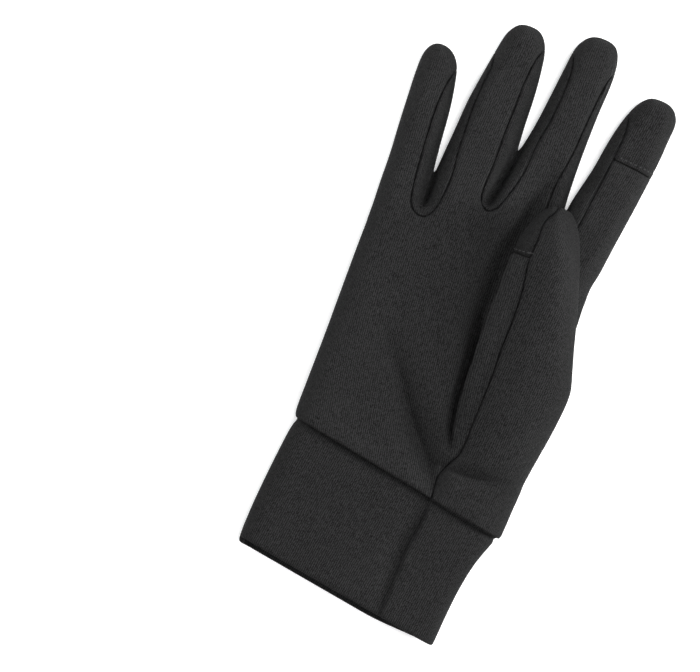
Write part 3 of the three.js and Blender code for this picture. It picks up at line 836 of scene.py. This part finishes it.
# %% Touch patches
# Past its seam, each patch is drawn in once more, where the folded edge under the stitches ends.
INDEX_FOLDED_EDGE, THUMB_FOLDED_EDGE = 3.0, 2.4
FOLDED_EDGE_DIP, FOLDED_EDGE_REACH = 0.25, 0.45
index_row = np.abs(past_index_seam - INDEX_FOLDED_EDGE)
thumb_row = np.abs(ALONG - THUMB_PATCH_Y - THUMB_FOLDED_EDGE)


def sewn_down(skin, row):
    """The skin, drawn in along the end of the folded edge."""
    return skin + FOLDED_EDGE_DIP * np.exp(-(row / FOLDED_EDGE_REACH) ** 2)


panel("thumb_touch_tip",
      lambda at: cloth(sewn_down(at(thumb_skin), at(thumb_row)), at(thumb_tip_own), bead=True),
      lambda at: np.minimum(at(thumb_tip_own), at(thumb_row)),
      "thumb", touch_jersey, "thumb_touch_patch")
panel("index_touch_tip",
      lambda at: cloth(sewn_down(at(hand_skin), at(index_row)), at(index_tip_own), bead=True,
                       rim=at(at_rim)),
      lambda at: np.minimum(at(index_tip_own), at(index_row)),
      "hand", touch_jersey, "index_touch_patch")

# %% Back of the hand, and strips between the fingers
for name, own, skin, node in (
        ("hand_back", back_own, joined_skin, "hand_back_panel"),
        ("wrist_back", wrist_own, joined_skin, "wrist_back_panel"),
        ("strip_little_ring", between[0], hand_skin, "fourchette_little_ring"),
        ("strip_ring_middle", between[1], hand_skin, "fourchette_ring_middle"),
        ("strip_middle_index", between[2], hand_skin, "fourchette_middle_index")):
    panel(name,
          lambda at, own=own, skin=skin: cloth(at(skin), at(own), bead=True, rim=finger_rim(at)),
          lambda at, own=own: at(own),
          "hand", strip_jersey_painted_shade if name.startswith("strip") else jersey, node)

# %% [markdown]
# ## The cuff
#
# The cuff is one tube of doubled cloth, sewn to the body with a deep groove between them. At its mouth
# the cloth turns back on itself, so its rim is thick and round. The layer that lies on the table
# reaches a little further than the upper one. A tube drawn through a few rings would do for it too, but
# this way it gets the same soft edges as the panels, and its end is tucked into the hand.

# %% Doubled cuff
# The cuff gets narrower where it is tucked in, and its own seam shows as a groove on its upper side.
TUCK, NARROWER, NARROWER_INSIDE = 2.6, 0.5, 0.9
CUFF_GROOVE, GROOVE_REACH = 0.6, 0.8
cuff_seam_off = np.full(PLAN_X.shape, 1e9, np.float32)
for x, y in smooth_line(CUFF_SEAM, False, 0.4):
    cuff_seam_off = np.minimum(cuff_seam_off, np.hypot(PLAN_X - x, PLAN_Y - y))
cuff_groove = CUFF_GROOVE * np.exp(-(cuff_seam_off / GROOVE_REACH) ** 2)[..., None] * ease(HEIGHT, 6, 8)
cuff_own = least(TUCK - past_wrist, inside_mouth)
neck = (NARROWER + NARROWER_INSIDE * ease(cuff_in, 1, 5)[..., None]) * ease(past_wrist, -2.8, -0.4)
cuff_drawn = cuff_skin + cuff_groove + neck


def cuff_cloth(at):
    """The doubled cloth of the cuff, with soft thick edges that no thread draws in."""
    return cloth(at(cuff_drawn), at(cuff_own), CUFF_CLOTH, soft=1.3, dip=0.0)


def cuff_seams(at):
    """Distance from the cuff's seams. Its mouth is a fold, so it counts as further off."""
    return least(np.abs(at(past_wrist)), at(inside_mouth) + 3, at(cuff_seam_off))


panel("doubled_cuff", cuff_cloth, cuff_seams, "cuff", cuff_jersey_painted_shade, "cuff")

# %% [markdown]
# ## The topstitching
#
# Beside three of the seams the seam edge is sewn down with a row of short stitches: at both touch
# patches, and across the back of the hand. Each stitch is a small spindle of thread that dives into the
# wool at both ends. They are placed by following a path over the skin, so they bend with the cloth. A
# bump in the material could hint at them, but real thread catches the light and stands proud.
#
# The thread's two plies are a pattern that turns round each stitch. Its knit attribute holds how far
# along the stitch a point is, and its angle round it.

# %% Thread
STITCH_LENGTH, STITCH_EVERY, THREAD_RADIUS = 1.5, 2.1, 0.19
PLY_TURNS = 9.0
thread = Nodes("charcoal_thread")
stitch_place = thread.add("ShaderNodeAttribute", attribute_name="knit").outputs["Vector"]
twist = thread.add("ShaderNodeSeparateXYZ", {0: stitch_place})
ply = thread.math("MULTIPLY_ADD", twist.outputs[0], PLY_TURNS, twist.outputs[1])
ply = thread.math("ABSOLUTE", thread.math("SINE", ply))
thread_colour = thread.mix(ply, (0.006, 0.006, 0.0062, 1), (0.048, 0.048, 0.0486, 1))
thread_bump = thread.add("ShaderNodeBump", {"Strength": 0.8, "Distance": 0.0001, "Height": ply})
thread_shader = thread.add("ShaderNodeBsdfPrincipled", {
    "Base Color": thread_colour, "Roughness": 0.6, "Normal": thread_bump.outputs[0],
    "Specular IOR Level": 0.2})
thread.add("ShaderNodeOutputMaterial", {"Surface": thread_shader.outputs[0]})
print("a stitch of", STITCH_LENGTH, "mm every", STITCH_EVERY, "mm")


# %% A path over the skin
def skin_slope(skin, points):
    """The direction straight out of a skin, at points near it."""
    return slope_at(lambda at: at(skin), points)


def skin_path(skin, corners, y_of_x):
    """Points along a path that is laid near the skin and drawn onto it. The corners are x and z."""
    steps = np.linspace(0, len(corners) - 1, 400)
    x, z = (np.interp(steps, range(len(corners)), [c[k] for c in corners]) for k in (0, 1))
    path = np.column_stack([x, y_of_x(x), z])
    for _ in range(8):
        slope = skin_slope(skin, path)
        pull = reader(path)(skin) / np.clip((slope**2).sum(1), 0.3, None)
        path = path - pull[:, None] * slope
    return path


# %% One stitch
RINGS, SIDES = 7, 8
STITCH_RISE, STITCH_SINK, STITCH_TAPER = 0.3, 0.28, 0.12


def spindle(skin, middle, stations):
    """Points of a spindle round its middle line, and each point's place along and round it."""
    up = skin_slope(skin, middle)
    up /= np.linalg.norm(up, axis=1)[:, None]
    ahead = np.gradient(middle, axis=0)
    ahead /= np.linalg.norm(ahead, axis=1)[:, None]
    across = np.cross(ahead, up)
    bulge = np.sin(np.linspace(STITCH_TAPER, math.pi - STITCH_TAPER, RINGS))
    points, twist = [], []
    for centre, u, w, wide, station in zip(middle, up, across, bulge, stations):
        for turn in np.arange(SIDES) * 2 * math.pi / SIDES:
            lift = STITCH_RISE * wide - STITCH_SINK + THREAD_RADIUS * wide * math.sin(turn)
            points.append(centre + u * lift + w * THREAD_RADIUS * wide * math.cos(turn))
            twist.append((station, turn, 0))
    return points, twist


def spindle_faces(first):
    """Faces of the spindle whose points start at that number: its side, ring by ring, and its ends."""
    faces = []
    for ring in range(first, first + SIDES * (RINGS - 1), SIDES):
        for t in range(SIDES):
            a, b = ring + t, ring + (t + 1) % SIDES
            faces.append((a, a + SIDES, b + SIDES, b))
    faces.append(tuple(first + t for t in range(SIDES)))
    faces.append(tuple(first + SIDES * (RINGS - 1) + t for t in range(SIDES - 1, -1, -1)))
    return faces


# %% Three rows of stitches
STITCHES_PAST_SEAM = dict(index=1.9, thumb=1.5, back=1.8)
FIRST_STITCH_AT = 0.4
stitch_rows = (
    (hand_skin, [(31.6, 14), (40, 14), (46, 12), (50.5, 8), (51, 2.4)],
     lambda x: INDEX_PATCH_Y + STITCHES_PAST_SEAM["index"] + INDEX_PATCH_SLOPE * (x - INDEX_PATCH_X)),
    (thumb_skin, [(14.0, 25), (10, 25), (7, 22), (3.5, 18), (3.5, 13)],
     lambda x: THUMB_PATCH_Y + STITCHES_PAST_SEAM["thumb"] + 0 * x),
    (joined_skin, [(-54.5, 4.4), (-54.5, 0), (-47, -2.4), (41, -2.4), (50.5, 0), (50.5, 4.4)],
     lambda x: BACK_SEAM_Y + STITCHES_PAST_SEAM["back"] + WRIST_SLOPE * x),
)
stitch_points, stitch_faces, stitch_twist = [], [], []
for skin, corners, y_of_x in stitch_rows:
    path = skin_path(skin, corners, y_of_x)
    run = np.append(0, np.cumsum(np.linalg.norm(np.diff(path, axis=0), axis=1)))
    for start in np.arange(FIRST_STITCH_AT, run[-1] - STITCH_LENGTH, STITCH_EVERY):
        stations = start + STITCH_LENGTH * np.linspace(0, 1, RINGS)
        middle = np.stack([np.interp(stations, run, path[:, k]) for k in range(3)], 1)
        points, places = spindle(skin, middle, stations)
        stitch_faces += spindle_faces(len(stitch_points))
        stitch_points += points
        stitch_twist += places

# %% Topstitches as one piece
stitch_mesh = bpy.data.meshes.new("topstitches")
stitch_mesh.from_pydata((np.array(stitch_points) * MM).tolist(), [], stitch_faces)
stitch_mesh.polygons.foreach_set("use_smooth", [True] * len(stitch_faces))
stitch_mesh.attributes.new("knit", "FLOAT_VECTOR", "POINT").data.foreach_set(
    "vector", np.array(stitch_twist, np.float32).ravel())
stitch_mesh.materials.append(thread.material)
topstitches = bpy.data.objects.new("topstitches", stitch_mesh)
bpy.context.scene.collection.objects.link(topstitches)
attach(topstitches, "root")
print("stitches:", len(stitch_points) // (RINGS * SIDES))

# %% [markdown]
# ## Table, light and camera
#
# The glove lies on a plain white surface and is seen from straight above, turned a little. A broad lamp
# above its right side lights it at a slant, so the folds and the slopes of the thumb show as soft dark
# bands. A small low lamp at either side brightens the rims. The table glows a little of its own, so that
# the glove's shadow on it stays faint.

# %% White table
TABLE_SIZE, TABLE_Z, TABLE_GLOW = 4, -0.0004, 0.3
bpy.ops.mesh.primitive_plane_add(size=TABLE_SIZE, location=(0, 0, TABLE_Z))
table = bpy.context.active_object
table.name = "white_table"
paper = Nodes("white_paper")
speckle = paper.noise(paper.add("ShaderNodeTexCoord").outputs["Object"], 60.0, 3.0)
paper_colour = paper.mix(speckle, (0.93, 0.93, 0.93, 1), (0.95, 0.95, 0.95, 1))
paper_shader = paper.add("ShaderNodeBsdfPrincipled", {
    "Base Color": paper_colour, "Roughness": 0.9, "Specular IOR Level": 0.1,
    "Emission Color": (1, 1, 1, 1), "Emission Strength": TABLE_GLOW})
paper.add("ShaderNodeOutputMaterial", {"Surface": paper_shader.outputs[0]})
table.data.materials.append(paper.material)
print("table:", TABLE_SIZE, "m wide")

# %% Soft lamps
LIT_POINT = Vector((0, 0.04, 0))
ROOM_LIGHT = 0.12


def lamp(name, place, size, power):
    """A square lamp that points at the glove."""
    data = bpy.data.lights.new(name, "AREA")
    data.shape = "SQUARE"
    data.size, data.energy = size, power
    body = bpy.data.objects.new(name, data)
    body.location = place
    body.rotation_euler = (LIT_POINT - Vector(place)).to_track_quat("-Z", "Y").to_euler()
    bpy.context.scene.collection.objects.link(body)
    print(name, power, "W")


lamp("overhead_lamp", (0.52, 0.3, 1.1), 1.8, 37)
lamp("right_lamp", (1.2, 0.4, 0.28), 0.35, 22)
lamp("left_lamp", (-1.2, 0.2, 0.4), 0.5, 14)
sky = bpy.data.worlds.new("soft_room")
sky.use_nodes = True
sky.node_tree.nodes["Background"].inputs[0].default_value = (1, 1, 1, 1)
sky.node_tree.nodes["Background"].inputs[1].default_value = ROOM_LIGHT
bpy.context.scene.world = sky
bpy.context.scene.view_settings.view_transform = "Standard"

# %% Camera straight above
CAMERA_HEIGHT, VIEW_WIDTH, SENSOR = 1.6, 0.28, 36
VIEW_MIDDLE = (-0.0409, 0.0201)
VIEW_TURN = 22
eye = bpy.data.cameras.new("camera")
eye.sensor_width = SENSOR
eye.lens = SENSOR * CAMERA_HEIGHT / VIEW_WIDTH
camera = bpy.data.objects.new("camera", eye)
camera.location = (*VIEW_MIDDLE, CAMERA_HEIGHT)
camera.rotation_euler = (0, 0, math.radians(VIEW_TURN))
bpy.context.scene.collection.objects.link(camera)
bpy.context.scene.camera = camera
print("lens:", round(eye.lens, 1), "mm")
